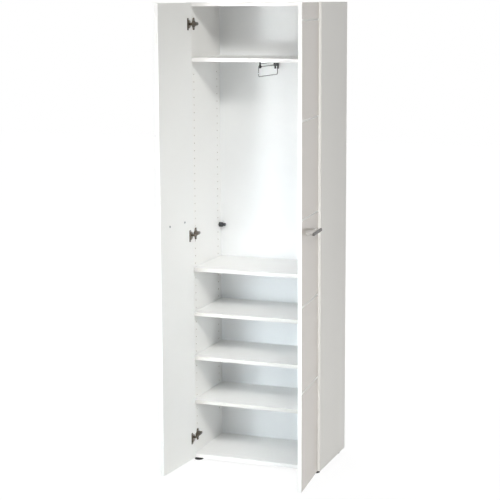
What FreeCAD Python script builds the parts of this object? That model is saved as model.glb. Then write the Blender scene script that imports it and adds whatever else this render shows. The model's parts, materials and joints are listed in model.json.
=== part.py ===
"""Tall two-door hallway wardrobe, doors standing open, built as separate pieces in millimetres.

The frame stands on the floor at z = 0 with its front facing -Y. The origin is the middle of the floor
space that the wardrobe takes up with its doors open, so the carcass front lies at y = front.
"""
import FreeCAD
import Part
import Sketcher
import os

doc = FreeCAD.newDocument("wardrobe")
sheet = doc.addObject("Spreadsheet::Sheet", "Sizes")

SIZES = {
    "front": -32.6, "width": 586, "depth": 352, "height": 1955, "board": 16,
    "glide_height": 14, "glide_radius": 19, "glide_inset": 12, "glide_front": 24,
    "back_thick": 3, "back_front": 328, "back_groove": 6,
    "pitch": 32, "hole_top": 1659, "hole_count": 48, "hole_radius": 2.5, "hole_depth": 12,
    "row_front": 37, "row_gap": 256,
    "top_shelf_z": 1713, "shelf_gap": 0.5, "support_reach": 8,
    "door_thick": 16, "door_bottom": 16, "door_top": 1953, "door_standoff": 2.6,
    "reveal": 9.5, "door_gap": 3, "open_angle": 95,
    "pin_inset": 6.6, "pin_sink": 9, "pin_radius": 1, "eye_radius": 2, "eye_play": 0.05,
    "cup_radius": 17.5, "cup_centre": 20.5, "cup_depth": 12.2, "cup_wall": 0.7, "cup_floor": 0.6,
    "hinge_low": 107, "hinge_mid": 987, "hinge_high": 1867, "plate_half": 25.5, "screw_half": 16,
    "flange_half": 25, "flange_thick": 1.2, "cup_screw_half": 20,
    "groove_radius": 8, "groove_rise": 6.8, "groove_drop": 2,
    "handle_z": 1051, "handle_span": 128, "grip_radius": 5, "grip_standoff": 29, "handle_screw_radius": 2,
    "wire": 2, "slide_play": 0.15, "slot_play": 1, "loop_y": 67, "loop_long": 233, "loop_drop": 62,
    "run_drop": 21.5, "tie_drop": 10, "stem_y": 85, "stem_half": 3, "guide_radius": 7,
    "saddle_y": 276, "saddle_long": 20, "saddle_wide": 20, "saddle_tall": 38, "heel_long": 8, "heel_drop": 26,
    "peg_y": 310, "peg_z": 987, "peg_radius": 10.5, "peg_long": 17, "neck_radius": 5, "neck_long": 4,
    "tip_radius": 6.5, "tip_long": 9,
}
for row, (alias, value) in enumerate(SIZES.items(), start=1):
    sheet.set("A%d" % row, alias)
    sheet.set("B%d" % row, str(value))
    sheet.setAlias("B%d" % row, alias)
doc.recompute()

GROOVES = (65, 450, 836, 1181, 1530)
SHELF_HOLES = {"middle_shelf": 26, "adjustable_shelf_upper": 32, "adjustable_shelf_centre": 38,
               "adjustable_shelf_lower": 44}
HINGES = ("hinge_low", "hinge_mid", "hinge_high")
SIDES = {"left": 1, "right": -1}
TURN = {"x": FreeCAD.Rotation(FreeCAD.Vector(0, 1, 0), 90),
        "y": FreeCAD.Rotation(FreeCAD.Vector(1, 0, 0), -90),
        "z": FreeCAD.Rotation()}
nodes = []


def expr(text):
    """Turns the bare size words of a formula into references to the sheet."""
    out = ""
    word = ""
    for ch in str(text) + " ":
        if ch.isalnum() and (word or ch.isalpha()) or ch == "_":
            word += ch
            continue
        out += "Sizes." + word if word in SIZES else word
        word = ""
        out += ch
    return out.strip()


def bind(obj, values):
    """Binds properties of an object to formulas over the sheet."""
    for path, text in values.items():
        obj.setExpression(path, expr(text))
    return obj


def base(x, y, z):
    """Formulas for the origin of a placement."""
    return {"Placement.Base.x": x, "Placement.Base.y": y, "Placement.Base.z": z}


def box(span_x, span_y, span_z):
    """Block between two formulas on each axis."""
    obj = doc.addObject("Part::Box", "block")
    bind(obj, {"Length": "(%s) - (%s)" % (span_x[1], span_x[0]),
               "Width": "(%s) - (%s)" % (span_y[1], span_y[0]),
               "Height": "(%s) - (%s)" % (span_z[1], span_z[0])})
    return bind(obj, base(span_x[0], span_y[0], span_z[0]))


def rod(axis, radius, length, x, y, z):
    """Round bar from a start point along one axis."""
    obj = doc.addObject("Part::Cylinder", "rod")
    obj.Placement = FreeCAD.Placement(FreeCAD.Vector(), TURN[axis])
    bind(obj, {"Radius": radius, "Height": length})
    return bind(obj, base(x, y, z))


def ball(radius, x, y, z):
    """Round end of a wire."""
    obj = doc.addObject("Part::Sphere", "ball")
    bind(obj, {"Radius": radius})
    return bind(obj, base(x, y, z))


def joined(parts):
    """One solid out of several that run into each other."""
    obj = doc.addObject("Part::MultiFuse", "joined")
    obj.Shapes = parts
    obj.Refine = True
    return obj


def together(parts):
    """Several separate solids carried as one piece."""
    obj = doc.addObject("Part::Compound", "together")
    obj.Links = parts
    return obj


def without(body, tools):
    """A body with tools taken out of it."""
    obj = doc.addObject("Part::Cut", "without")
    obj.Base = body
    obj.Tool = tools[0] if len(tools) == 1 else together(tools)
    return obj


def node(name, obj):
    """Names a finished piece."""
    obj.Label = name
    nodes.append(obj)
    return obj


def inward(side, near, far):
    """Span on x between two distances inward from the outer face of a side."""
    if side == "left":
        return ("-width / 2 + %s" % near, "-width / 2 + %s" % far)
    return ("width / 2 - (%s)" % far, "width / 2 - (%s)" % near)


def at_side(side, distance):
    """Position on x at a distance inward from the outer face of a side."""
    return "-width / 2 + %s" % distance if side == "left" else "width / 2 - (%s)" % distance


def hung(side, obj):
    """Sets a piece made in a door's own frame at the pivot, swung open."""
    turn = "-open_angle" if side == "left" else "open_angle"
    bind(obj, base(at_side(side, "(reveal + pin_inset)"), "front - door_standoff - pin_sink", "0"))
    return bind(obj, {"Placement.Rotation.Angle": turn})


def across(side, near, far):
    """Span on a door's own x between two distances from its hinge edge."""
    if side == "left":
        return ("%s - pin_inset" % near, "%s - pin_inset" % far)
    return ("pin_inset - (%s)" % far, "pin_inset - (%s)" % near)


def along(side, distance):
    """Position on a door's own x at a distance from its hinge edge."""
    return "%s - pin_inset" % distance if side == "left" else "pin_inset - (%s)" % distance


def sunk(near, far):
    """Span on a door's own y between two depths below its inner face."""
    return ("pin_sink - (%s)" % far, "pin_sink - (%s)" % near)


def rectangle(sketch, wide, tall):
    """Draws a dimensioned rectangle from the sketch origin."""
    corners = [(0, 0), (100, 0), (100, 200), (0, 200)]
    for i in range(4):
        a, b = corners[i], corners[(i + 1) % 4]
        sketch.addGeometry(Part.LineSegment(FreeCAD.Vector(a[0], a[1], 0), FreeCAD.Vector(b[0], b[1], 0)))
    for i in range(4):
        sketch.addConstraint(Sketcher.Constraint("Coincident", i, 2, (i + 1) % 4, 1))
    for i, kind in enumerate(("Horizontal", "Vertical", "Horizontal", "Vertical")):
        sketch.addConstraint(Sketcher.Constraint(kind, i))
    sketch.addConstraint(Sketcher.Constraint("Coincident", 0, 1, -1, 1))
    w = sketch.addConstraint(Sketcher.Constraint("DistanceX", 0, 1, 0, 2, 100))
    h = sketch.addConstraint(Sketcher.Constraint("DistanceY", 1, 1, 1, 2, 200))
    sketch.setExpression("Constraints[%d]" % w, expr(wide))
    sketch.setExpression("Constraints[%d]" % h, expr(tall))


def circle(sketch, radius, x, y):
    """Draws a dimensioned circle."""
    i = sketch.addGeometry(Part.Circle(FreeCAD.Vector(10, 10, 0), FreeCAD.Vector(0, 0, 1), 2))
    rad = sketch.addConstraint(Sketcher.Constraint("Radius", i, 2))
    dx = sketch.addConstraint(Sketcher.Constraint("DistanceX", -1, 1, i, 3, 10))
    dy = sketch.addConstraint(Sketcher.Constraint("DistanceY", -1, 1, i, 3, 10))
    sketch.setExpression("Constraints[%d]" % rad, expr(radius))
    sketch.setExpression("Constraints[%d]" % dx, expr(x))
    sketch.setExpression("Constraints[%d]" % dy, expr(y))


def wall_sketch(body, name):
    """Sketch on the inner face of a side panel, x to the back and y up."""
    sketch = body.newObject("Sketcher::SketchObject", name)
    plane = [f for f in body.Origin.OriginFeatures if f.Role == "YZ_Plane"][0]
    sketch.AttachmentSupport = [(plane, "")]
    sketch.MapMode = "FlatFace"
    return sketch


def side_panel(side):
    """Side board with two rows of shelf holes, hinge screw holes and a groove for the back."""
    body = doc.addObject("PartDesign::Body", side + "_side")
    outline = wall_sketch(body, "outline")
    rectangle(outline, "depth", "height - glide_height")
    pad = body.newObject("PartDesign::Pad", "board")
    pad.Profile = outline
    pad.Reversed = side == "left"
    bind(pad, {"Length": "board"})
    doc.recompute()
    rows = wall_sketch(body, "rows")
    for y in ("row_front", "row_front + row_gap"):
        circle(rows, "hole_radius", y, "hole_top - glide_height - pitch * (hole_count - 1)")
    drilled = body.newObject("PartDesign::Pocket", "row_holes")
    drilled.Profile = rows
    drilled.Reversed = side == "right"
    bind(drilled, {"Length": "hole_depth"})
    doc.recompute()
    pattern = body.newObject("PartDesign::LinearPattern", "hole_pattern")
    pattern.Originals = [drilled]
    pattern.Direction = (rows, ["V_Axis"])
    body.Tip = pattern
    bind(pattern, {"Length": "pitch * (hole_count - 1)", "Occurrences": "hole_count"})
    doc.recompute()
    screws = wall_sketch(body, "hinge_screws")
    for z in HINGES:
        for sign in ("-", "+"):
            circle(screws, "hole_radius", "row_front", "%s %s screw_half - glide_height" % (z, sign))
    held = body.newObject("PartDesign::Pocket", "hinge_holes")
    held.Profile = screws
    held.Reversed = side == "right"
    bind(held, {"Length": "hole_depth"})
    doc.recompute()
    channel = wall_sketch(body, "channel")
    rectangle(channel, "back_thick", "height - glide_height")
    slot = body.newObject("PartDesign::Pocket", "back_groove")
    slot.Profile = channel
    slot.Reversed = side == "right"
    bind(slot, {"Length": "back_groove"})
    channel.AttachmentOffset = FreeCAD.Placement(FreeCAD.Vector(SIZES["back_front"], 0, 0), FreeCAD.Rotation())
    channel.setExpression("AttachmentOffset.Base.x", expr("back_front"))
    body.Tip = slot
    bind(body, base(at_side(side, "board"), "front", "glide_height"))
    doc.recompute()
    return node(side + "_side_panel", body)


def hinge_plate(side, z):
    """Cross-shaped plate on a side wall with holes for its two screws."""
    bar = box(inward(side, "board", "board + 3"), ("front + row_front - 5", "front + row_front + 5"),
              ("%s - plate_half" % z, "%s + plate_half" % z))
    block = box(inward(side, "board", "board + 5"), ("front + row_front - 25", "front + row_front + 25"),
                ("%s - 7" % z, "%s + 7" % z))
    holes = []
    for sign in ("-", "+"):
        holes.append(rod("x", "hole_radius", "8", inward(side, "board - 2", "board + 6")[0],
                         "front + row_front", "%s %s screw_half" % (z, sign)))
    holes.append(rod("x", "2", "4", inward(side, "board + 2", "board + 6")[0], "front + row_front + 14", z))
    return without(joined([bar, block]), holes)


def plate_screw(side, z):
    """Stout screw holding a hinge plate in the side board."""
    start = inward(side, "board - hole_depth", "board + 3")[0]
    shank = rod("x", "hole_radius", "hole_depth + 3", start, "front + row_front", z)
    head = rod("x", "3.6", "1.5", inward(side, "board + 3", "board + 4.5")[0], "front + row_front", z)
    return joined([shank, head])


def arm_screw(side, z):
    """Screw clamping a hinge arm to its plate."""
    shank = rod("x", "2", "9", inward(side, "board + 2", "board + 11")[0], "front + row_front + 14", z)
    head = rod("x", "4", "1.5", inward(side, "board + 11", "board + 12.5")[0], "front + row_front + 14", z)
    return joined([shank, head])


def hinge_arm(side, z):
    """Arm clamped to the plate, with a goose neck that reaches round the door edge to the pivot."""
    pivot_in = "reveal + pin_inset"
    pivot_y = "front - door_standoff - pin_sink"
    body = box(inward(side, "board + 5", "board + 11"), ("front + 3", "front + row_front + 30"),
               ("%s - 7" % z, "%s + 7" % z))
    out = box(inward(side, "board + 5", "board + 14.2"), ("front + 3", "front + 7"),
              ("%s - 5" % z, "%s + 5" % z))
    neck = box(inward(side, "board + 11.2", "board + 14.2"), ("%s - 1.1" % pivot_y, "front + 7"),
               ("%s - 4" % z, "%s + 4" % z))
    hook = box(inward(side, pivot_in, "board + 14.2"), ("%s - 1.1" % pivot_y, "%s + 1.1" % pivot_y),
               ("%s - 4" % z, "%s + 4" % z))
    eye = rod("z", "eye_radius", "8", at_side(side, "(%s)" % pivot_in), pivot_y, "%s - 4" % z)
    bore = rod("z", "pin_radius + eye_play", "10", at_side(side, "(%s)" % pivot_in), pivot_y, "%s - 5" % z)
    screw = rod("x", "2", "8", inward(side, "board + 4", "board + 12")[0], "front + row_front + 14", z)
    return without(joined([body, out, neck, hook, eye]), [bore, screw])


def hinge_cup(side, z):
    """Cup sunk in the door, with its flange and the pivot pin across it."""
    cup = rod("y", "cup_radius", "cup_depth", along(side, "cup_centre"), sunk("0", "cup_depth")[0], z)
    flange = box(across(side, "cup_centre + 3", "cup_centre + 17"), sunk("-flange_thick", "0.5"),
                 ("%s - flange_half" % z, "%s + flange_half" % z))
    hollow = rod("y", "cup_radius - cup_wall", "cup_depth + 1", along(side, "cup_centre"),
                 sunk("0", "cup_depth - cup_floor")[0], z)
    pin = rod("z", "pin_radius", "20.4", "0", "0", "%s - 10.2" % z)
    holes = []
    for sign in ("-", "+"):
        holes.append(rod("y", "1.75", "4", along(side, "cup_centre + 10"), sunk("-2", "2")[0],
                         "%s %s cup_screw_half" % (z, sign)))
    shell = without(joined([cup, flange]), [hollow_mouth(side, z, hollow)] + holes)
    return joined([shell, pin])


def hollow_mouth(side, z, hollow):
    """The hollow of a cup, left covered where the flange crosses its mouth."""
    lid = box(across(side, "cup_centre + 3", "cup_centre + 17"), sunk("-2", "0.5"),
              ("%s - flange_half" % z, "%s + flange_half" % z))
    return without(hollow, [lid])


def cup_screw(side, z):
    """Short screw through a cup flange."""
    x = along(side, "cup_centre + 10")
    shank = rod("y", "1.75", "10", x, sunk("-flange_thick", "10 - flange_thick")[0], z)
    head = rod("y", "3.4", "1", x, sunk("-flange_thick - 1", "-flange_thick")[0], z)
    return joined([shank, head])


def door(side):
    """Door board with coved grooves, cup bores and screw holes."""
    tall = ("door_bottom", "door_top")
    wide = "(width - 2 * reveal - door_gap) / 2"
    board = box(across(side, "0", wide), sunk("0", "door_thick"), tall)
    tools = []
    for below in GROOVES:
        tools.append(rod("x", "groove_radius", wide + " + 2", across(side, "-1", wide + " + 1")[0],
                         sunk("0", "door_thick + groove_rise")[0], "door_top - %s - groove_drop" % below))
    for z in HINGES:
        tools.append(rod("y", "cup_radius", "cup_depth + 1", along(side, "cup_centre"),
                         sunk("0", "cup_depth")[0], z))
        tools.append(box(across(side, "cup_centre + 3", "cup_centre + 17"), sunk("-1", "0.5"),
                         ("%s - flange_half" % z, "%s + flange_half" % z)))
        for sign in ("-", "+"):
            tools.append(rod("y", "1.75", "12", along(side, "cup_centre + 10"),
                             sunk("-2", "10 - flange_thick")[0], "%s %s cup_screw_half" % (z, sign)))
    for sign in ("-", "+"):
        tools.append(rod("y", "handle_screw_radius", "door_thick + 2",
                         along(side, "(%s) / 2 %s handle_span / 2" % (wide, sign)),
                         sunk("-1", "door_thick + 1")[0], "handle_z"))
    return node(side + "_door", hung(side, without(board, tools)))


def handle(side):
    """Grip bar on two feet with round corners, fixed from behind."""
    wide = "(width - 2 * reveal - door_gap) / 2"
    grip_y = sunk("0", "door_thick + grip_standoff")[0]
    start = along(side, "(%s) / 2 %s handle_span / 2" % (wide, "-" if side == "left" else "+"))
    parts = [rod("x", "grip_radius", "handle_span", start, grip_y, "handle_z")]
    tools = []
    for sign in ("-", "+"):
        x = along(side, "(%s) / 2 %s handle_span / 2" % (wide, sign))
        parts.append(ball("grip_radius", x, grip_y, "handle_z"))
        parts.append(rod("y", "grip_radius", "grip_standoff", x, grip_y, "handle_z"))
        tools.append(rod("y", "handle_screw_radius", "7", x,
                         sunk("door_thick - 1", "door_thick + 6")[0], "handle_z"))
    return node(side + "_handle", hung(side, without(joined(parts), tools)))


def handle_screws(side):
    """Two pan-head screws through a door into the feet of its handle."""
    wide = "(width - 2 * reveal - door_gap) / 2"
    screws = []
    for sign in ("-", "+"):
        x = along(side, "(%s) / 2 %s handle_span / 2" % (wide, sign))
        shank = rod("y", "handle_screw_radius", "door_thick + 6", x, sunk("0", "door_thick + 6")[0], "handle_z")
        head = rod("y", "4.5", "2.2", x, sunk("-2.2", "0")[0], "handle_z")
        screws.append(joined([shank, head]))
    return node(side + "_handle_screws", hung(side, together(screws)))


# carcass boards
for side in SIDES:
    side_panel(side)
inner = ("-width / 2 + board", "width / 2 - board")
close = ("-width / 2 + board + shelf_gap", "width / 2 - board - shelf_gap")
node("top_panel", box(inner, ("front", "front + back_front"), ("height - board", "height")))
node("bottom_panel", box(inner, ("front", "front + back_front"),
                         ("glide_height", "glide_height + board")))
node("back_panel", box(("-width / 2 + board - back_groove", "width / 2 - board + back_groove"),
                       ("front + back_front", "front + back_front + back_thick"), ("glide_height", "height")))
node("top_shelf", box(inner, ("front", "front + back_front"), ("top_shelf_z", "top_shelf_z + board")))
pins = []
for name, count in SHELF_HOLES.items():
    under = "hole_top - pitch * %d + hole_radius" % count
    node(name, box(close, ("front + 1", "front + back_front - 1"), (under, under + " + board")))
    for side in SIDES:
        for y in ("front + row_front", "front + row_front + row_gap"):
            pins.append(rod("x", "hole_radius", "hole_depth + support_reach",
                            inward(side, "board - hole_depth", "board + support_reach")[0], y,
                            "hole_top - pitch * %d" % count))
node("shelf_support_pins", together(pins))
glides = []
for side in SIDES:
    for y in ("front + glide_front", "front + back_front - glide_front"):
        glides.append(rod("z", "glide_radius", "glide_height",
                          at_side(side, "(board + glide_inset)"), y, "0"))
node("floor_glides", together(glides))

# hinges and doors
for side in SIDES:
    node(side + "_hinge_plates", together([hinge_plate(side, z) for z in HINGES]))
    node(side + "_hinge_arms", together([hinge_arm(side, z) for z in HINGES]))
    node(side + "_plate_screws", together([plate_screw(side, "(%s %s screw_half)" % (z, sign))
                                           for z in HINGES for sign in ("-", "+")]))
    node(side + "_arm_screws", together([arm_screw(side, z) for z in HINGES]))
    door(side)
    node(side + "_hinge_cups", hung(side, together([hinge_cup(side, z) for z in HINGES])))
    node(side + "_cup_screws", hung(side, together([cup_screw(side, "(%s %s cup_screw_half)" % (z, sign))
                                                    for z in HINGES for sign in ("-", "+")])))
    handle(side)
    handle_screws(side)

# pull-out clothes rail under the top shelf: a wire loop that slides through two hanging brackets
stem_mid = "front + stem_y"
saddle_span = ("front + saddle_y", "front + saddle_y + saddle_long")
run_z = "top_shelf_z - run_drop"
low_z = "top_shelf_z - loop_drop"
tie_z = "top_shelf_z - tie_drop"
stem = box(("-stem_half", "stem_half"), (stem_mid + " - stem_half", stem_mid + " + stem_half"),
           (run_z, "top_shelf_z"))
guide = ball("guide_radius", "0", stem_mid, run_z)
passage = rod("y", "wire + slide_play", "4 * guide_radius", "0", stem_mid + " - 2 * guide_radius", run_z)
node("rail_front_bracket", without(joined([stem, guide]), [passage]))
saddle = box(("-saddle_wide / 2", "saddle_wide / 2"), saddle_span, ("top_shelf_z - saddle_tall", "top_shelf_z"))
slot = box(("-wire - slot_play", "wire + slot_play"), (saddle_span[0] + " - 1", saddle_span[1] + " + 1"),
           ("top_shelf_z - saddle_tall - 1", run_z + " + wire + slot_play"))
heel = box(("-saddle_wide / 2 - 1", "saddle_wide / 2 + 1"),
           (saddle_span[0] + " - 1", saddle_span[0] + " + heel_long"),
           ("top_shelf_z - saddle_tall - 1", "top_shelf_z - heel_drop"))
node("rail_rear_bracket", without(saddle, [slot, heel]))
node("rail_tie_rod", rod("y", "wire", "saddle_y - stem_y - stem_half", "0", stem_mid + " + stem_half", tie_z))
loop_front = "front + loop_y"
loop_rear = "front + loop_y + loop_long"
legs = [rod("z", "wire", "loop_drop - run_drop", "0", y, low_z) for y in (loop_front, loop_rear)]
runs = [rod("y", "wire", "loop_long", "0", loop_front, z) for z in (low_z, run_z)]
corners = [ball("wire", "0", y, z) for y in (loop_front, loop_rear) for z in (low_z, run_z)]
node("rail_loop", joined(legs + runs + corners))

# coat peg on the left wall
peg_start = inward("left", "board", "board + peg_long")[0]
peg_y = "front + peg_y"
peg = joined([rod("x", "peg_radius", "peg_long", peg_start, peg_y, "peg_z"),
              rod("x", "neck_radius", "peg_long + neck_long", peg_start, peg_y, "peg_z"),
              rod("x", "tip_radius", "tip_long", peg_start + " + peg_long + neck_long", peg_y, "peg_z")])
node("coat_peg", peg)

doc.recompute()
os.makedirs("parts", exist_ok=True)
for obj in doc.Objects:
    if "Invalid" in obj.State or "Error" in obj.State:
        raise RuntimeError("%s failed" % obj.Label)
for obj in nodes:
    if obj.Shape.isNull() or not obj.Shape.isValid():
        raise RuntimeError("%s has no valid shape" % obj.Label)
    obj.Shape.exportStep("parts/%s.step" % obj.Label)
    print("%-26s solids %2d volume %.1f cm3" % (obj.Label, len(obj.Shape.Solids), obj.Shape.Volume / 1000))
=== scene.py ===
"""Looks of a tall white two-door hallway wardrobe that stands open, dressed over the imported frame.

Every length inside the classes is in millimetres, as on a workshop drawing, and becomes metres only
when a mesh or a pattern is made. The frame's axes hold: +Z is up and the wardrobe's front faces -Y.
"""
from __future__ import annotations

import json
import logging
import math
from dataclasses import dataclass, field
from enum import Enum
from typing import Any, Iterable, Sequence

import bmesh
import bpy
from mathutils import Matrix, Vector

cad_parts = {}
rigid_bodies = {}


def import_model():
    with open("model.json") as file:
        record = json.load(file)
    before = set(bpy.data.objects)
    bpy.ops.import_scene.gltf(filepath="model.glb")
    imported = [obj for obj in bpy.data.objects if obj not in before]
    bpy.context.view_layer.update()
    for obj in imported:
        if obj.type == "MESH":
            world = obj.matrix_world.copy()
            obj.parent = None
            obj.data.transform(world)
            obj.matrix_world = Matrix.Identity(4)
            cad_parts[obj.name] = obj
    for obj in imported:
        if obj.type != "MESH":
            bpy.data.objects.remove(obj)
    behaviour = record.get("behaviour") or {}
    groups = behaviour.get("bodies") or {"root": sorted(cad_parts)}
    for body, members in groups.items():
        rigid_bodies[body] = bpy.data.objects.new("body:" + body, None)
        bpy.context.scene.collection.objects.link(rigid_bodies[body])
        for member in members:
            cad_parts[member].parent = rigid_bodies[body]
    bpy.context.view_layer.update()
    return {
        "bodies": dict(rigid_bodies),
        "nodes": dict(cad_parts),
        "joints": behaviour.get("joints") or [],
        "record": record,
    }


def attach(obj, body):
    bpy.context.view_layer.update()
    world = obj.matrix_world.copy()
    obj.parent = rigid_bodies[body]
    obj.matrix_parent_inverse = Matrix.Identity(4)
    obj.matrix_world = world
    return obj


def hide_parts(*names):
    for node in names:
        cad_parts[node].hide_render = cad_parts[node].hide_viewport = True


LOG = logging.getLogger("wardrobe")
MM = 0.001


class Side(Enum):
    """The two mirror-image sides of the wardrobe."""

    LEFT = "left"
    RIGHT = "right"

    @property
    def sign(self) -> int:
        """Direction on x from this side to the middle."""
        return 1 if self is Side.LEFT else -1


class Level(Enum):
    """The three heights at which each door hangs, in millimetres above the floor."""

    LOW = 107.0
    MIDDLE = 987.0
    HIGH = 1867.0


class Body(Enum):
    """The moving bodies of the frame."""

    CARCASS = "carcass"
    LEFT_DOOR = "left_door_leaf"
    RIGHT_DOOR = "right_door_leaf"
    RAIL = "clothes_rail"


# Node and colour helpers


def linear(code: str) -> tuple[float, float, float, float]:
    """Turns an sRGB hex colour into linear light.

    Args:
        code: Colour such as "#F1F0EC".

    Returns:
        Red, green, blue and alpha as linear values.
    """
    values = []
    for start in (1, 3, 5):
        level = int(code[start:start + 2], 16) / 255
        values.append(level / 12.92 if level <= 0.04045 else ((level + 0.055) / 1.055) ** 2.4)
    return values[0], values[1], values[2], 1.0


def add_node(tree: bpy.types.NodeTree, kind: str, settings: dict[str, Any] | None = None,
             links: dict[str | int, bpy.types.NodeSocket] | None = None) -> bpy.types.Node:
    """Adds one node with its settings and incoming links.

    Args:
        tree: Node tree that takes the node.
        kind: Blender's type name of the node.
        settings: Values by property name, or by input name or number where no property has that name.
        links: Output sockets by the name or number of the input that they feed.

    Returns:
        The new node.
    """
    made = tree.nodes.new(kind)
    for key, value in (settings or {}).items():
        if isinstance(key, str) and hasattr(made, key):
            setattr(made, key, value)
        else:
            made.inputs[key].default_value = value
    for key, source in (links or {}).items():
        tree.links.new(source, made.inputs[key])
    return made


def per_metre(size_mm: float) -> float:
    """Texture scale at which one feature of a pattern is that many millimetres wide."""
    return 1.0 / (size_mm * MM)


# Finishes


@dataclass(frozen=True)
class Finish:
    """A surface finish: what the material is, its colour spread and how its surface was made.

    Attributes:
        name: Real material and how its surface was made.
        slot: Material slot of the record that it is meant for; not used.
        light: Lighter sRGB colour of its spread.
        dark: Darker sRGB colour of its spread.
        cloud_mm: Width of one patch of colour spread.
        smooth: Roughness where the surface is smoothest.
        rough: Roughness where it is roughest.
        grain_mm: Width of one grain of the surface relief.
        relief_mm: Height of that relief.
        stretch: Scale of the grain along x, y and z, to draw it out in one direction.
        metallic: 1 for bare or plated metal.
        ior: Index of refraction, left at the default for metals.
        specular: Level of the surface reflection, 0.5 for a bare dielectric.
        anisotropy: How far a brushed metal draws its highlights out.
    """

    name: str
    slot: str
    light: str
    dark: str
    cloud_mm: float
    smooth: float
    rough: float
    grain_mm: float
    relief_mm: float
    stretch: tuple[float, float, float] = (1.0, 1.0, 1.0)
    metallic: float = 0.0
    ior: float = 1.5
    specular: float = 0.5
    anisotropy: float = 0.0

    def material(self) -> bpy.types.Material:
        """Makes the material, or gives the one made before.

        Returns:
            The node material of this finish.
        """
        known = bpy.data.materials.get(self.name)
        if known is not None:
            return known
        made = bpy.data.materials.new(self.name)
        made.use_nodes = True
        tree = made.node_tree
        tree.nodes.clear()
        place = add_node(tree, "ShaderNodeTexCoord").outputs["Object"]
        shader = add_node(tree, "ShaderNodeBsdfPrincipled", {
            "Metallic": self.metallic, "IOR": self.ior, "Specular IOR Level": self.specular,
            "Anisotropic": self.anisotropy})
        tree.links.new(self.colour(tree, place), shader.inputs["Base Color"])
        tree.links.new(self.roughness(tree, place), shader.inputs["Roughness"])
        tree.links.new(self.relief(tree, place), shader.inputs["Normal"])
        add_node(tree, "ShaderNodeOutputMaterial", links={"Surface": shader.outputs[0]})
        return made

    def colour(self, tree: bpy.types.NodeTree, place: bpy.types.NodeSocket) -> bpy.types.NodeSocket:
        """Draws the slow spread of colour over the surface.

        Args:
            tree: Node tree of the material.
            place: Position on the piece.

        Returns:
            Socket with the colour.
        """
        cloud = add_node(tree, "ShaderNodeTexNoise", {
            "Scale": per_metre(self.cloud_mm), "Detail": 3.0, "Roughness": 0.55}, {"Vector": place})
        ramp = add_node(tree, "ShaderNodeValToRGB", links={"Fac": cloud.outputs["Fac"]})
        ramp.color_ramp.elements[0].position = 0.3
        ramp.color_ramp.elements[0].color = linear(self.dark)
        ramp.color_ramp.elements[1].position = 0.7
        ramp.color_ramp.elements[1].color = linear(self.light)
        return ramp.outputs["Color"]

    def grain(self, tree: bpy.types.NodeTree, place: bpy.types.NodeSocket) -> bpy.types.NodeSocket:
        """Draws the grain that both the relief and the roughness follow.

        Args:
            tree: Node tree of the material.
            place: Position on the piece.

        Returns:
            Socket with the grain's height from 0 to 1.
        """
        drawn = add_node(tree, "ShaderNodeMapping", {"Scale": self.stretch}, {"Vector": place})
        return add_node(tree, "ShaderNodeTexNoise", {
            "Scale": per_metre(self.grain_mm), "Detail": 2.0, "Roughness": 0.5},
            {"Vector": drawn.outputs["Vector"]}).outputs["Fac"]

    def roughness(self, tree: bpy.types.NodeTree, place: bpy.types.NodeSocket) -> bpy.types.NodeSocket:
        """Spreads the roughness between its two values.

        Args:
            tree: Node tree of the material.
            place: Position on the piece.

        Returns:
            Socket with the roughness.
        """
        return add_node(tree, "ShaderNodeMapRange", {
            "From Min": 0.3, "From Max": 0.7, "To Min": self.smooth, "To Max": self.rough},
            {"Value": self.grain(tree, place)}).outputs["Result"]

    def relief(self, tree: bpy.types.NodeTree, place: bpy.types.NodeSocket) -> bpy.types.NodeSocket:
        """Raises the grain by its real height.

        Args:
            tree: Node tree of the material.
            place: Position on the piece.

        Returns:
            Socket with the shading normal.
        """
        return add_node(tree, "ShaderNodeBump", {"Strength": 1.0, "Distance": self.relief_mm * MM},
                        {"Height": self.grain(tree, place)}).outputs["Normal"]


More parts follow.
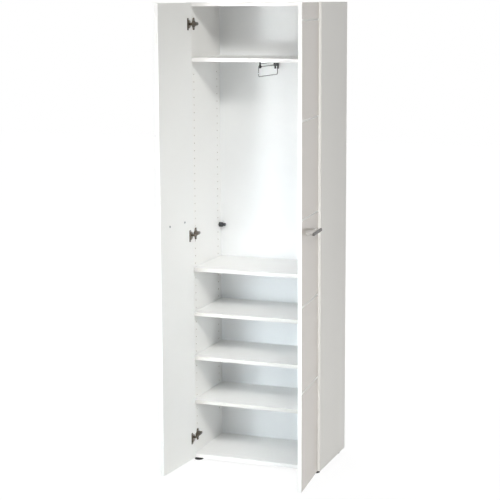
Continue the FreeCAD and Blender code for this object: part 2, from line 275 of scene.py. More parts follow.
@dataclass(frozen=True)
class EdgedBoard(Finish):
    """Melamine-faced board with an edge band in front and bare wood chips inside its drilled holes.

    Attributes:
        front_mm: Position of the board's front edge on y.
        band_mm: Thickness of the edge band.
        joint: Colour of the joint line between band and face.
        core: Darker and lighter colour of the chips inside the holes.
        chip_mm: Width of one chip.
        core_box_mm: Middle and half size of the space inside a side board, on x, y and z.
    """

    front_mm: float = -32.6
    band_mm: float = 1.0
    joint: str = "#D9D8D4"
    core: tuple[str, str] = ("#6B5C48", "#9A8768")
    chip_mm: float = 1.5
    core_box_mm: tuple[tuple[float, float], ...] = ((285.0, 7.8), (131.0, 155.0), (980.0, 900.0))

    def colour(self, tree: bpy.types.NodeTree, place: bpy.types.NodeSocket) -> bpy.types.NodeSocket:
        """Draws the face's colour, the joint line of the edge band and the chips inside the holes.

        Args:
            tree: Node tree of the material.
            place: Position on the piece.

        Returns:
            Socket with the colour.
        """
        face = super().colour(tree, place)
        depth = add_node(tree, "ShaderNodeSeparateXYZ", links={"Vector": place}).outputs["Y"]
        # The real joint is a tenth of a millimetre; it is drawn 0.8 mm wide so that it can show.
        line = add_node(tree, "ShaderNodeMath", {
            "operation": "COMPARE", 1: (self.front_mm + self.band_mm) * MM, 2: 0.4 * MM}, {0: depth})
        banded = add_node(tree, "ShaderNodeMix", {"data_type": "RGBA", 7: linear(self.joint)},
                          {0: line.outputs[0], 6: face})
        chips = add_node(tree, "ShaderNodeTexNoise", {"Scale": per_metre(self.chip_mm)}, {"Vector": place})
        raw = add_node(tree, "ShaderNodeMix", {
            "data_type": "RGBA", 6: linear(self.core[0]), 7: linear(self.core[1])}, {0: chips.outputs["Fac"]})
        drilled = add_node(tree, "ShaderNodeMix", {"data_type": "RGBA"}, {
            0: self.inside(tree, place), 6: banded.outputs[2], 7: raw.outputs[2]})
        return drilled.outputs[2]

    def inside(self, tree: bpy.types.NodeTree, place: bpy.types.NodeSocket) -> bpy.types.NodeSocket:
        """Finds the surfaces that lie within a side board, which only its holes have.

        Args:
            tree: Node tree of the material.
            place: Position on the piece.

        Returns:
            Socket with 1 inside a hole and 0 elsewhere.
        """
        axes = add_node(tree, "ShaderNodeSeparateXYZ", links={"Vector": place}).outputs
        either = add_node(tree, "ShaderNodeMath", {"operation": "ABSOLUTE"}, {0: axes["X"]}).outputs[0]
        near = [add_node(tree, "ShaderNodeMath", {"operation": "COMPARE", 1: middle * MM, 2: half * MM},
                         {0: axis}).outputs[0]
                for axis, (middle, half) in zip((either, axes["Y"], axes["Z"]), self.core_box_mm)]
        lesser = {"operation": "MINIMUM"}
        level = add_node(tree, "ShaderNodeMath", lesser, {0: near[0], 1: near[1]}).outputs[0]
        return add_node(tree, "ShaderNodeMath", lesser, {0: level, 1: near[2]}).outputs[0]


@dataclass(frozen=True)
class DoorFace(Finish):
    """Door board with a gloss film outside and satin melamine on its edges and inside. The grooves in the
    outer face also keep the paler melamine: a painted highlight for the light that their lower flank catches.

    Attributes:
        side: Side of the wardrobe that the door hangs on.
        gloss: Roughness of the film outside.
        film: sRGB colour of the film.
        pivot_mm: Hinge pin on x and y.
        film_mm: Distance outwards from the pin at which the film begins, above the grooves cut in it; the
            grooves below keep the paler melamine as a painted highlight.
        open_deg: Angle at which the door stands in the frame's rest pose.
    """

    side: Side = Side.LEFT
    gloss: float = 0.14
    film: str = "#E6E0DC"
    pivot_mm: tuple[float, float] = (276.9, -44.2)
    film_mm: float = 6.9
    open_deg: float = 95.0

    def outside(self, tree: bpy.types.NodeTree, place: bpy.types.NodeSocket) -> bpy.types.NodeSocket:
        """Finds the door's outer face, which lies above its grooves.

        Args:
            tree: Node tree of the material.
            place: Position on the piece.

        Returns:
            Socket with 1 there and 0 elsewhere.
        """
        angle = math.radians(-self.open_deg * self.side.sign)
        outward = Vector((math.sin(angle), -math.cos(angle), 0.0))
        pivot = Vector((-self.side.sign * self.pivot_mm[0], self.pivot_mm[1], 0.0)) * MM
        reach = add_node(tree, "ShaderNodeVectorMath", {"operation": "DOT_PRODUCT", 1: outward}, {0: place})
        return add_node(tree, "ShaderNodeMath", {
            "operation": "GREATER_THAN", 1: pivot.dot(outward) + self.film_mm * MM},
            {0: reach.outputs["Value"]}).outputs[0]

    def colour(self, tree: bpy.types.NodeTree, place: bpy.types.NodeSocket) -> bpy.types.NodeSocket:
        """Lays the film's own darker, warmer white over the melamine's colour, so that the grooves stay
        paler: a painted highlight for the light caught on their lower flank.

        Args:
            tree: Node tree of the material.
            place: Position on the piece.

        Returns:
            Socket with the colour.
        """
        melamine = super().colour(tree, place)
        return add_node(tree, "ShaderNodeMix", {"data_type": "RGBA", 7: linear(self.film)}, {
            0: self.outside(tree, place), 6: melamine}).outputs[2]

    def roughness(self, tree: bpy.types.NodeTree, place: bpy.types.NodeSocket) -> bpy.types.NodeSocket:
        """Gives the outer face its gloss and leaves the rest satin.

        Args:
            tree: Node tree of the material.
            place: Position on the piece.

        Returns:
            Socket with the roughness.
        """
        satin = super().roughness(tree, place)
        return add_node(tree, "ShaderNodeMix", {"data_type": "FLOAT", 3: self.gloss}, {
            0: self.outside(tree, place), 2: satin}).outputs[0]


# White melamine paper pressed on particle board against a pearl-grained plate: a soft, even white with
# a satin bloom. The real pearl grain is about 1 mm wide and is drawn at 4 mm so that it can show.
BOARD = EdgedBoard("melamine_board_pearl_pressed", "white_melamine_board", "#F8F8F7", "#F6F6F5", 240,
                   0.28, 0.34, 4.0, 0.008)
# Hardboard rolled with white lacquer: flat and a little cool, with a fine roller stipple.
HARDBOARD = Finish("hardboard_roller_lacquered", "white_hardboard", "#F6F8F9", "#F3F5F6", 180,
                   0.5, 0.62, 5.0, 0.06)
# Gloss film on the outside of the doors: a clear reflection, gently broken by the board under it.
# The melamine colours below also fill the door grooves, where their paleness against the film is a painted
# highlight.
DOOR_FILM = {side: DoorFace(f"gloss_film_wrapped_{side.value}_door", "gloss_door_film", "#F6F7F7",
                            "#F4F5F5", 260, 0.36, 0.48, 7.0, 0.03, side=side, specular=0.38) for side in Side}
# Zinc die casting of the bar, brushed, with fine lines along the bar: its dark graphite colour is painted
# shade, a shaded copy of the handle metal for the bar's face turned from the lamps.
HANDLE_BAR_PAINTED_SHADE = Finish("zinc_casting_brushed_painted_shade", "satin_handle_metal", "#6E6D6B", "#605F5D", 14,
                      0.34, 0.46, 3.0, 0.03, stretch=(3.0, 0.25, 3.0), metallic=1.0, anisotropy=0.3)
# The posts under the bar, turned: the same casting in a lighter satin grey, painted light for the posts'
# faces that the lamps reach.
HANDLE_POSTS_PAINTED_LIGHT = Finish("zinc_casting_turned_painted_light", "satin_handle_metal", "#A3A29F", "#93928F", 10,
                    0.32, 0.44, 2.0, 0.02, metallic=1.0)
# Stamped steel, nickel plated: a brownish mirror that goes dark where it faces the shade.
HINGE_STEEL = Finish("stamped_steel_nickel_plated", "nickel_hinge_steel", "#75695A", "#574D42", 9,
                     0.22, 0.36, 2.5, 0.02, metallic=1.0)
# The same plating inside the drawn cups, which the press left matt: a pale grey hollow.
BOWL_STEEL = Finish("deep_drawn_steel_matt_nickel", "nickel_hinge_steel", "#C9C5BE", "#B5B0A8", 8,
                    0.42, 0.55, 2.5, 0.02, metallic=1.0)
# Steel screws with bright zinc: bluish grey with a fine crystalline cloud.
SCREW_STEEL = Finish("steel_screw_zinc_plated", "zinc_steel", "#A9ACAE", "#8D9093", 4,
                     0.28, 0.42, 1.5, 0.02, metallic=1.0)
# Moulded polyethylene glide: black with a dull, slightly scuffed skin.
GLIDE_PLASTIC = Finish("polyethylene_moulded_black", "black_glide_plastic", "#101010", "#090909", 12,
                       0.45, 0.6, 2.0, 0.03, ior=1.51)
# Moulded polyamide of the rail: deep black with a fine spark-eroded texture.
RAIL_PLASTIC = Finish("polyamide_moulded_black", "black_rail_plastic", "#191919", "#0E0E0E", 9,
                      0.34, 0.5, 1.6, 0.03, ior=1.53)
# Drawn steel wire, grey plated: a soft metal line with faint drawing marks along the run.
RAIL_STEEL = Finish("drawn_steel_grey_plated", "chromed_rail_steel", "#8C8D8F", "#77787A", 20,
                    0.2, 0.32, 2.0, 0.01, stretch=(3.0, 0.15, 3.0), metallic=1.0)
# Turned steel peg with a dark burnished skin: a soft dark grey highlight.
PEG_METAL = Finish("turned_steel_burnished", "dark_peg_metal", "#5B5C5F", "#46474A", 8,
                   0.3, 0.42, 1.6, 0.02, stretch=(4.0, 1.0, 1.0), metallic=1.0)


# Mesh forms


def rounded_rectangle(wide: float, tall: float, radius: float, steps: int = 6) -> list[tuple[float, float]]:
    """Draws a rectangle with round corners about the origin.

    Args:
        wide: Width on x.
        tall: Height on y.
        radius: Corner radius.
        steps: Segments of each corner.

    Returns:
        The outline's corners in order.
    """
    points = []
    for quarter, (sx, sy) in enumerate(((1, 1), (-1, 1), (-1, -1), (1, -1))):
        for k in range(steps + 1):
            turn = math.pi / 2 * (quarter + k / steps)
            points.append((sx * (wide / 2 - radius) + radius * math.cos(turn),
                           sy * (tall / 2 - radius) + radius * math.sin(turn)))
    return points


class Form:
    """A mesh in the making, in millimetres in the row frame."""

    def __init__(self) -> None:
        """Starts an empty mesh."""
        self.mesh = bmesh.new()

    def ring(self, place: Matrix, points: Iterable[tuple[float, float, float]]) -> list[bmesh.types.BMVert]:
        """Adds one row of points.

        Args:
            place: Where the points' own frame stands.
            points: The points in order.

        Returns:
            The new vertices.
        """
        return [self.mesh.verts.new(place @ Vector(p)) for p in points]

    def loop(self, row: Sequence[bmesh.types.BMVert]) -> list[bmesh.types.BMEdge]:
        """Joins a row of points into a closed line of edges."""
        return [self.mesh.edges.get((a, b)) or self.mesh.edges.new((a, b))
                for a, b in zip(row, [*row[1:], row[0]])]

    def wall(self, low: Sequence[bmesh.types.BMVert], high: Sequence[bmesh.types.BMVert]) -> None:
        """Spans faces between two closed rows; a row of one point becomes a fan.

        Args:
            low: First row.
            high: Second row.
        """
        count = max(len(low), len(high))
        for k in range(count):
            after = (k + 1) % count
            corners = [low[k % len(low)], low[after % len(low)], high[after % len(high)], high[k % len(high)]]
            kept = [v for i, v in enumerate(corners) if v not in corners[:i]]
            if len(kept) > 2:
                self.mesh.faces.new(kept)

    def turned(self, place: Matrix, profile: Sequence[tuple[float, float]], steps: int = 40,
               hollow: bool = False) -> None:
        """Turns a profile about the place's own z axis.

        Args:
            place: Where the axis stands.
            profile: Pairs of radius and height, from one end to the other.
            steps: Segments round the axis.
            hollow: True if the profile is a closed loop, as on a cup or a ring.
        """
        rows = []
        for radius, height in profile:
            if radius < 1e-6:
                rows.append(self.ring(place, [(0, 0, height)]))
                continue
            rows.append(self.ring(place, [(radius * math.cos(2 * math.pi * k / steps),
                                           radius * math.sin(2 * math.pi * k / steps), height)
                                          for k in range(steps)]))
        for low, high in zip(rows, rows[1:]):
            self.wall(low, high)
        if hollow:
            self.wall(rows[-1], rows[0])
            return
        for end in (rows[0], rows[-1]):
            if len(end) > 1:
                self.mesh.faces.new(end)

    def swept(self, path: Sequence[Vector], sections: Sequence[tuple[float, float]], across: Vector,
              power: float = 2.0, steps: int = 24, endless: bool = False) -> None:
        """Carries an oval section along a path and closes its ends.

        Args:
            path: Points of the centre line.
            sections: Half width along across and half thickness, one pair for each point.
            across: Direction of the section's width.
            power: 2 for an ellipse, more for a section that nears a rectangle.
            steps: Segments round the section.
            endless: True if the path's last point leads back to its first.
        """
        rows = []
        last = len(path) - 1
        for k, point in enumerate(path):
            before, after = (path[k - 1], path[(k + 1) % len(path)]) if endless else (
                path[max(k - 1, 0)], path[min(k + 1, last)])
            along = (after - before).normalized()
            thick = along.cross(across).normalized()
            wide_half, thick_half = sections[k]
            row = []
            for step in range(steps):
                turn = 2 * math.pi * step / steps
                c, s = math.cos(turn), math.sin(turn)
                row.append(point + across * (wide_half * math.copysign(abs(c) ** (2 / power), c))
                           + thick * (thick_half * math.copysign(abs(s) ** (2 / power), s)))
            rows.append(self.ring(Matrix.Identity(4), row))
        for low, high in zip(rows, rows[1:]):
            self.wall(low, high)
        if endless:
            self.wall(rows[-1], rows[0])
            return
        for end in (rows[0], rows[-1]):
            self.mesh.faces.new(end)

    def plate(self, place: Matrix, outline: Sequence[tuple[float, float]], low: float, high: float,
              rounding: float, holes: Sequence[tuple[float, float, float]] = (),
              shrink: float = 1.0) -> None:
        """Raises a flat outline to a plate with eased upper edges.

        Args:
            place: Where the plate's own frame stands; it is raised along z.
            outline: Corners on x and y.
            low: Height of the lower face.
            high: Height of the upper face.
            rounding: Radius of the eased upper edge.
            holes: Round holes through the plate, as x, y and radius.
            shrink: Scale of the upper face, for a tapered block.
        """
        faces = {}
        for height, scale in ((low, 1.0), (high, shrink)):
            rows = [self.ring(place, [(x * scale, y * scale, height) for x, y in outline])]
            for x, y, radius in holes:
                rows.append(self.ring(place, [(x + radius * math.cos(math.pi * k / 8),
                                               y + radius * math.sin(math.pi * k / 8), height)
                                              for k in range(16)]))
            edges = [edge for row in rows for edge in self.loop(row)]
            bmesh.ops.triangle_fill(self.mesh, edges=edges, use_beauty=True)
            faces[height] = rows
        for lower, upper in zip(faces[low], faces[high]):
            self.wall(lower, upper)
        if rounding:
            bmesh.ops.bevel(self.mesh, geom=self.loop(faces[high][0]), offset=rounding, segments=3,
                            profile=0.5, affect="EDGES", clamp_overlap=True)

    def block(self, low: Sequence[float], high: Sequence[float], rounding: float,
              place: Matrix | None = None) -> None:
        """Adds a block with all its edges eased.

        Args:
            low: Lowest corner.
            high: Highest corner.
            rounding: Radius of the eased edges.
            place: Where the block's own frame stands, the row frame if none is given.
        """
        size = [b - a for a, b in zip(low, high)]
        middle = [(a + b) / 2 for a, b in zip(low, high)]
        at = (place or Matrix.Identity(4)) @ Matrix.Translation(middle) @ Matrix.Diagonal((*size, 1.0))
        made = bmesh.ops.create_cube(self.mesh, size=1.0, matrix=at)
        edges = {edge for vert in made["verts"] for edge in vert.link_edges}
        bmesh.ops.bevel(self.mesh, geom=list(edges), offset=rounding, segments=3, profile=0.5,
                        affect="EDGES", clamp_overlap=True)

    def piece(self, name: str, finish: Finish, body: Body, nodes: Sequence[str],
              sharp_deg: float = 38.0) -> bpy.types.Object:
        """Closes the mesh and hands it in as a piece of the wardrobe.

        Args:
            name: Name of the piece.
            finish: Finish that dresses it.
            body: Body that it moves with.
            nodes: Nodes of the frame that it stands for.
            sharp_deg: Edges with a larger angle stay crisp.

        Returns:
            The finished object.
        """
        bmesh.ops.recalc_face_normals(self.mesh, faces=self.mesh.faces[:])
        bmesh.ops.scale(self.mesh, vec=(MM, MM, MM), verts=self.mesh.verts[:])
        data = bpy.data.meshes.new(name)
        self.mesh.to_mesh(data)
        self.mesh.free()
        data.polygons.foreach_set("use_smooth", [True] * len(data.polygons))
        data.set_sharp_from_angle(angle=math.radians(sharp_deg))
        data.materials.append(finish.material())
        made = bpy.data.objects.new(name, data)
        bpy.context.scene.collection.objects.link(made)
        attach(made, body.value)
        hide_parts(*nodes)
        LOG.info("built %s with %d faces, finish %s", name, len(data.polygons), finish.name)
        return made


def dress_node(frame: dict[str, Any], name: str, finish: Finish, edge_mm: float = 0.0) -> None:
    """Gives a node of the frame its finish and eases its edges.

    Args:
        frame: The loaded frame.
        name: Name of the node.
        finish: Finish that dresses it.
        edge_mm: Radius of the eased edges, 0 for none.
    """
    node = frame["nodes"][name]
    made = finish.material()
    if not node.material_slots:
        node.data.materials.append(made)
    for place in node.material_slots:
        place.material = made
    if edge_mm:
        weld = node.modifiers.new("joined_corners", "WELD")
        weld.merge_threshold = 0.02 * MM
        ease = node.modifiers.new("eased_edges", "BEVEL")
        ease.width = edge_mm * MM
        ease.segments = 2
        ease.limit_method = "ANGLE"
        ease.angle_limit = math.radians(50)
        ease.harden_normals = True
    LOG.info("dressed %s, finish %s", name, finish.name)


@dataclass
class Screw:
    """Pan-head screw with a cross recess.

    Attributes:
        head: Radius of the head.
        tall: Height of the head.
        shank: Radius of the shank, which shows only as a stub under the head.
    """

    head: float
    tall: float
    shank: float

    def add(self, form: Form, place: Matrix) -> None:
        """Adds the screw to a mesh.

        Args:
            form: Mesh that takes it.
            place: Underside of the head, with z pointing out of the board.
        """
        steps = 32
        profile = [(self.shank, -1.5), (self.shank, 0.0), (self.head, 0.0), (self.head, 0.25 * self.tall),
                   (0.93 * self.head, 0.68 * self.tall), (0.76 * self.head, self.tall)]
        angles = [2 * math.pi * k / steps for k in range(steps)]
        rows = [form.ring(place, [(r * math.cos(a), r * math.sin(a), z) for a in angles]) for r, z in profile]
        for low, high in zip(rows, rows[1:]):
            form.wall(low, high)
        form.mesh.faces.new(rows[0])
        long, slim = 0.56 * self.head, 0.15 * self.head
        cross = [(long, -slim), (long, slim), (slim, slim), (slim, long), (-slim, long), (-slim, slim),
                 (-long, slim), (-long, -slim), (-slim, -slim), (-slim, -long), (slim, -long), (slim, -slim)]
        rim = form.ring(place, [(x, y, self.tall) for x, y in cross])
        pit = form.ring(place, [(0.75 * x, 0.75 * y, 0.35 * self.tall) for x, y in cross])
        bmesh.ops.triangle_fill(form.mesh, edges=form.loop(rows[-1]) + form.loop(rim), use_beauty=True)
        form.wall(rim, pit)
        form.mesh.faces.new(pit)


# Sub-assemblies


@dataclass
class Carcass:
    """The fixed boards, the shelves with their pins, and the glides under the bottom.

    Attributes:
        edge: Radius of the eased board edges.
        half_width: Half of the outer width.
        board: Thickness of the boards.
        front: Position of the front on y.
        rows: Distances of the two hole rows from the front.
        shelf_pins: Heights of the shelf pins.
        pin: Radius of a pin.
        pin_reach: Length of a pin in front of the wall.
        glide: Radius of a glide.
        glide_tall: Height of a glide.
        glide_at: Distances of the glides from the outer face on x, and from the front on y.
        boards: Nodes that are made of coated board.
    """

    edge: float = 0.7
    half_width: float = 293.0
    board: float = 16.0
    front: float = -32.6
    rows: tuple[float, float] = (37.0, 293.0)
    shelf_pins: tuple[float, ...] = (827.0, 635.0, 443.0, 251.0)
    pin: float = 2.5
    pin_reach: float = 8.0
    glide: float = 19.0
    glide_tall: float = 14.0
    glide_at: tuple[float, tuple[float, float]] = (28.0, (24.0, 304.0))
    boards: tuple[str, ...] = (
        "left_side_panel", "right_side_panel", "top_panel", "bottom_panel", "top_shelf", "middle_shelf",
        "adjustable_shelf_upper", "adjustable_shelf_centre", "adjustable_shelf_lower")

    def build(self) -> None:
        """Makes the shelf pins and the glides."""
        pins = Form()
        for side in Side:
            for height in self.shelf_pins:
                for row in self.rows:
                    place = Matrix.Translation((side.sign * (self.board - self.half_width), self.front + row,
                                                height)) @ Matrix.Rotation(side.sign * math.pi / 2, 4, "Y")
                    pins.turned(place, [(self.pin, -4.0), (self.pin, self.pin_reach - 0.8),
                                        (self.pin - 0.25, self.pin_reach - 0.25),
                                        (self.pin - 0.8, self.pin_reach), (0.0, self.pin_reach)], 24)
        pins.piece("shelf_pins", SCREW_STEEL, Body.CARCASS, ["shelf_support_pins"])
        glides = Form()
        r, tall = self.glide, self.glide_tall
        for side in Side:
            for depth in self.glide_at[1]:
                place = Matrix.Translation((side.sign * (self.glide_at[0] - self.half_width),
                                            self.front + depth, 0.0))
                glides.turned(place, [(0.0, 0.0), (r - 3.0, 0.0), (r - 1.2, 0.4), (r, 1.6), (r, 7.0),
                                      (r - 0.6, 7.8), (r - 2.0, 8.2), (r - 2.4, 9.0), (r - 2.4, tall),
                                      (0.0, tall)], 48)
        glides.piece("glide_discs", GLIDE_PLASTIC, Body.CARCASS, ["floor_glides"])

    def dress(self, frame: dict[str, Any]) -> None:
        """Gives the boards and the back their finishes.

        Args:
            frame: The loaded frame.
        """
        for name in self.boards:
            dress_node(frame, name, BOARD, self.edge)
        dress_node(frame, "back_panel", HARDBOARD)


@dataclass
class HingeSet:
    """The three hinges of one door: plates, arms and cups with their screws.

    Attributes:
        side: Side of the wardrobe.
        wall: Distance of the wall's inner face from the middle.
        row: Position of the plate screws on y.
        plate_screw_half: Half of the distance between a plate's screws.
        arm_screw_back: Distance of the arm screw behind the plate screws.
        pivot: Hinge pin on x, as a distance from the middle, and on y.
        pin_inset: Distance of the pin from the door's hinge edge.
        pin_sink: Depth of the pin below the door's inner face.
        open_deg: Angle at which the door stands in the rest pose.
        cup: Radius of a cup.
        cup_deep: Depth of a cup.
        cup_centre: Distance of a cup's centre from the hinge edge.
        cup_screw_half: Half of the distance between a cup's screws.
    """

    side: Side
    wall: float = 277.0
    row: float = 4.4
    plate_screw_half: float = 16.0
    arm_screw_back: float = 14.0
    pivot: tuple[float, float] = (276.9, -44.2)
    pin_inset: float = 6.6
    pin_sink: float = 9.0
    open_deg: float = 95.0
    cup: float = 17.5
    cup_deep: float = 12.2
    cup_centre: float = 20.5
    cup_screw_half: float = 20.0

    @property
    def door_body(self) -> Body:
        """Body of the door that these hinges carry."""
        return Body.LEFT_DOOR if self.side is Side.LEFT else Body.RIGHT_DOOR

    def on_wall(self, height: float) -> Matrix:
        """Frame on the wall at a hinge: x to the back, y up, z into the wardrobe."""
        s = self.side.sign
        return Matrix(((0, 0, s, -s * self.wall), (1, 0, 0, self.row), (0, 1, 0, height), (0, 0, 0, 1)))

    def door_frame(self) -> Matrix:
        """Frame of the open door at its pin: x along the closed front, y to the inside, z up."""
        s = self.side.sign
        return (Matrix.Translation((-s * self.pivot[0], self.pivot[1], 0.0))
                @ Matrix.Rotation(math.radians(-s * self.open_deg), 4, "Z"))

    def on_door(self, across: float, height: float) -> Matrix:
        """Frame on a door's inner face: x away from the hinge edge, y up, z out of the face.

        Args:
            across: Distance from the hinge edge.
            height: Height above the floor.

        Returns:
            The frame in the row frame.
        """
        s = self.side.sign
        return self.door_frame() @ Matrix(((s, 0, 0, s * (across - self.pin_inset)), (0, 0, 1, self.pin_sink),
                                           (0, 1, 0, height), (0, 0, 0, 1)))

    def build(self) -> None:
        """Makes the plates, arms, cups and screws."""
        self.build_plates()
        self.build_arms()
        self.build_cups()
        self.build_screws()

    def build_plates(self) -> None:
        """Makes the cross-shaped plates, waisted between wings and middle."""
        quarter = [(25.0, 5.5), (23.5, 7.0), (14.5, 8.4), (10.6, 12.0), (8.4, 17.0), (6.6, 22.5), (4.6, 25.0)]
        outline = [*quarter, *[(-x, y) for x, y in reversed(quarter)], *[(-x, -y) for x, y in quarter],
                   *[(x, -y) for x, y in reversed(quarter)]]
        form = Form()
        for level in Level:
            place = self.on_wall(level.value)
            form.plate(place, outline, 0.0, 3.0, 0.8)
            form.plate(place, rounded_rectangle(49.0, 13.4, 2.0), 2.6, 5.0, 0.7)
        form.piece(f"{self.side.value}_hinge_plate_set", HINGE_STEEL, Body.CARCASS,
                   [f"{self.side.value}_hinge_plates"])

    def build_arms(self) -> None:
        """Makes the pressed arms with their goose necks."""
        half = [(-33.5, 4.6), (-30.0, 5.6), (-18.0, 6.6), (20.0, 6.6), (27.0, 5.4), (29.6, 3.0)]
        outline = half + [(x, -y) for x, y in reversed(half)]
        turns = [(-26.0, 8.6), (-29.5, 9.4), (-31.6, 11.6), (-34.5, 12.7), (-40.0, 12.8), (-45.0, 12.8),
                 (-47.6, 12.2), (-48.6, 10.0), (-48.6, 6.0), (-48.6, 2.2)]
        form = Form()
        for level in Level:
            place = self.on_wall(level.value)
            form.plate(place, outline, 5.0, 11.0, 1.4)
            form.plate(place, rounded_rectangle(10.0, 7.0, 3.0), 10.6, 11.4, 0.3)
            path = [place @ Vector((x, 0.0, z)) for x, z in turns]
            form.swept(path, [(4.0, 1.15)] * len(path), Vector((0, 0, 1)), power=5.0, steps=28)
            eye = place @ Matrix.Translation((-48.6, 0.0, 0.1)) @ Matrix.Rotation(-math.pi / 2, 4, "X")
            form.turned(eye, [(1.1, -4.0), (1.9, -4.0), (2.0, -3.7), (2.0, 3.7), (1.9, 4.0), (1.1, 4.0)], 24,
                        hollow=True)
        form.piece(f"{self.side.value}_hinge_arm_set", HINGE_STEEL, Body.CARCASS,
                   [f"{self.side.value}_hinge_arms"])

    def build_cups(self) -> None:
        """Makes the pressed cups with flange and pin."""
        form, bowls = Form(), Form()
        r, deep = self.cup, self.cup_deep
        bowl = [(0.0, -deep), (r - 1.6, -deep), (r - 0.4, -deep + 1.4), (r, -deep + 2.4), (r, -0.4),
                (r - 0.2, 0.0), (r - 0.7, 0.0), (r - 0.7, -deep + 2.6), (r - 1.2, -deep + 1.6),
                (r - 2.2, -deep + 0.7), (0.0, -deep + 0.7)]
        for level in Level:
            bowls.turned(self.on_door(self.cup_centre, level.value), bowl, 48)
            flange = self.on_door(self.cup_centre + 10.0, level.value)
            holes = [(0.0, self.cup_screw_half * s, 1.8) for s in (-1, 1)]
            form.plate(flange, rounded_rectangle(13.6, 49.6, 4.5), -0.4, 1.2, 0.5, holes)
            pin = self.door_frame() @ Matrix.Translation((0.0, 0.0, level.value))
            form.turned(pin, [(0.0, -10.2), (0.8, -10.2), (1.0, -9.9),
                              (1.0, 9.9), (0.8, 10.2), (0.0, 10.2)], 16)
        node = f"{self.side.value}_hinge_cups"
        form.piece(f"{self.side.value}_hinge_flange_set", HINGE_STEEL, self.door_body, [node])
        bowls.piece(f"{self.side.value}_hinge_bowl_set", BOWL_STEEL, self.door_body, [node])

    def build_screws(self) -> None:
        """Makes the plate, arm and cup screws."""
        plates, arms, cups = Form(), Form(), Form()
        for level in Level:
            wall = self.on_wall(level.value)
            for s in (-1, 1):
                Screw(3.6, 1.5, 2.4).add(
                    plates, wall @ Matrix.Translation((0, s * self.plate_screw_half, 3.0)))
                Screw(3.4, 1.0, 1.7).add(cups, self.on_door(self.cup_centre + 10.0,
                                                            level.value + s * self.cup_screw_half)
                                         @ Matrix.Translation((0, 0, 1.2)))
            Screw(4.0, 1.5, 2.0).add(arms, wall @ Matrix.Translation((self.arm_screw_back, 0, 11.0)))
        name = self.side.value
        plates.piece(f"{name}_plate_screw_set", SCREW_STEEL, Body.CARCASS, [f"{name}_plate_screws"])
        arms.piece(f"{name}_arm_screw_set", SCREW_STEEL, Body.CARCASS, [f"{name}_arm_screws"])
        cups.piece(f"{name}_cup_screw_set", SCREW_STEEL, self.door_body, [f"{name}_cup_screws"])


@dataclass
class DoorLeaf:
    """One door with its bar handle and the handle's screws.

    Attributes:
        side: Side of the wardrobe.
        hinges: Hinges that carry the door and give its frame.
        edge: Radius of the eased door edges.
        wide: Width of the door.
        thick: Thickness of the door.
        handle_z: Height of the handle.
        handle_half: Half of the distance between the handle's feet.
        standoff: Distance of the bar's centre line from the door.
        bar: Half height and half thickness of the bar.
        post: Radius of the two posts under the bar.
    """

    side: Side
    hinges: HingeSet
    edge: float = 0.9
    wide: float = 282.0
    thick: float = 16.0
    handle_z: float = 1051.0
    handle_half: float = 64.0
    standoff: float = 29.0
    bar: tuple[float, float] = (6.2, 4.6)
    post: float = 3.7

    def outside(self) -> Matrix:
        """Frame at the handle on the door's outer face: x across, y out of the face, z up."""
        s = self.side.sign
        return self.hinges.door_frame() @ Matrix((
            (s, 0, 0, s * (self.wide / 2 - self.hinges.pin_inset)),
            (0, -1, 0, self.hinges.pin_sink - self.thick), (0, 0, 1, self.handle_z), (0, 0, 0, 1)))

    def build(self) -> None:
        """Makes the bar handle and its screws."""
        place, body = self.outside(), self.hinges.door_body
        name, node = self.side.value, f"{self.side.value}_handle"
        end = self.handle_half + 5.0
        ends = [(end - 4.0 + 4.0 * math.sin(k * math.pi / 12), math.cos(k * math.pi / 12)) for k in range(6)]
        line = [(-x, share) for x, share in reversed(ends)] + [(-30.0, 1.0), (0.0, 1.0), (30.0, 1.0)] + ends
        bar = Form()
        bar.swept([place @ Vector((x, self.standoff, 0.0)) for x, _ in line],
                  [(self.bar[0] - 2.4 * (1 - share), self.bar[1] - 2.4 * (1 - share)) for _, share in line],
                  Vector((0, 0, 1)), power=3.4, steps=36)
        # The bar takes the darker copy of the handle metal: painted shade.
        bar.piece(f"{name}_handle_bar", HANDLE_BAR_PAINTED_SHADE, body, [node], 50.0)
        posts = Form()
        for s in (-1, 1):
            post = (place @ Matrix.Translation((s * self.handle_half, 0.0, 0.0))
                    @ Matrix.Rotation(-math.pi / 2, 4, "X"))
            posts.turned(post, [(0.0, 0.0), (5.2, 0.0), (5.2, 0.8), (4.7, 1.5), (self.post, 2.4),
                                (self.post, self.standoff - 3.0), (0.0, self.standoff - 3.0)], 32)
        # The posts take the lighter copy of the handle metal: painted light.
        posts.piece(f"{name}_handle_posts", HANDLE_POSTS_PAINTED_LIGHT, body, [node], 50.0)
        screws = Form()
        for s in (-1, 1):
            Screw(4.5, 2.2, 2.0).add(screws, self.hinges.on_door(self.wide / 2 + s * self.handle_half,
                                                                 self.handle_z))
        screws.piece(f"{self.side.value}_handle_screw_set", SCREW_STEEL, body,
                     [f"{self.side.value}_handle_screws"])

    def dress(self, frame: dict[str, Any]) -> None:
        """Gives the door board its film and melamine.

        Args:
            frame: The loaded frame.
        """
        dress_node(frame, f"{self.side.value}_door", DOOR_FILM[self.side], self.edge)


